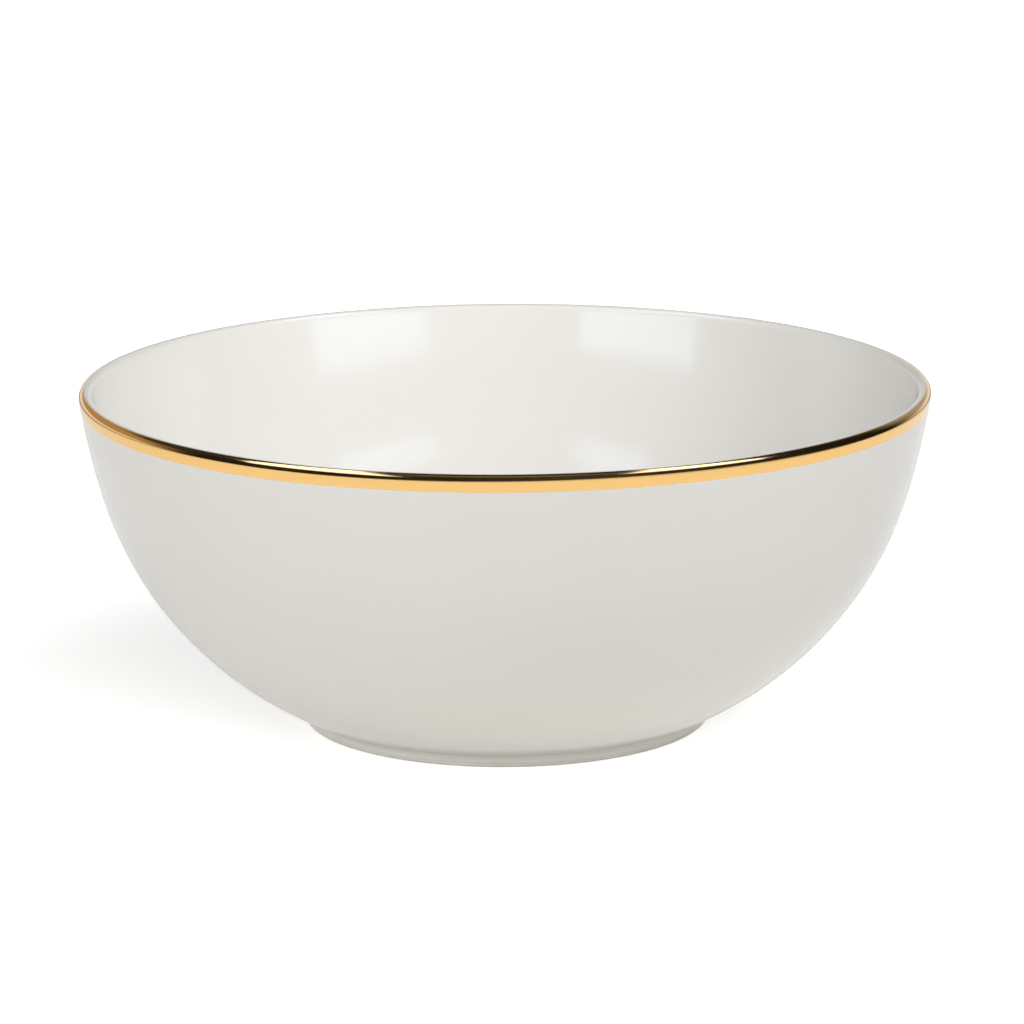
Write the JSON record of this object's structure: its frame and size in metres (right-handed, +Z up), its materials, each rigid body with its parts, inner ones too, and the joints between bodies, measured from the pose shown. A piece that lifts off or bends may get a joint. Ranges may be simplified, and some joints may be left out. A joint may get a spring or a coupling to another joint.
{
  "type": "serving bowl",
  "caption": "Round, deep porcelain serving bowl with a softly curved wall, a low foot ring, clear glaze inside and out and a narrow gold band round the outside of the rounded lip.",
  "frame": {"origin": "on the axis of revolution, in the plane of the foot ring's contact face", "axes": "+Z up along the axis of revolution, out of the bowl's mouth; X and Y are horizontal and equal, because the bowl is round"},
  "size_m": [0.23, 0.23, 0.0925],
  "materials": {
    "porcelain": "hard-fired white porcelain body, hidden under the glaze",
    "bare_porcelain": "unglazed, ground smooth and matt, slightly grey where it rubs on the table",
    "white_glaze": "high gloss, cool off-white, with the faint waviness of a fired glaze",
    "cream_glaze": "high gloss, slightly warmer off-white",
    "gold": "bright fired gold, mirror-like, with a slightly uneven hand-drawn edge"
  },
  "bodies": {
    "root": {"bowl_body": "porcelain", "foot_ring": "bare_porcelain", "glaze_outside": "white_glaze", "glaze_inside": "cream_glaze", "glaze_base": "white_glaze", "gold_rim_band": "gold"}
  },
  "joints": []
}
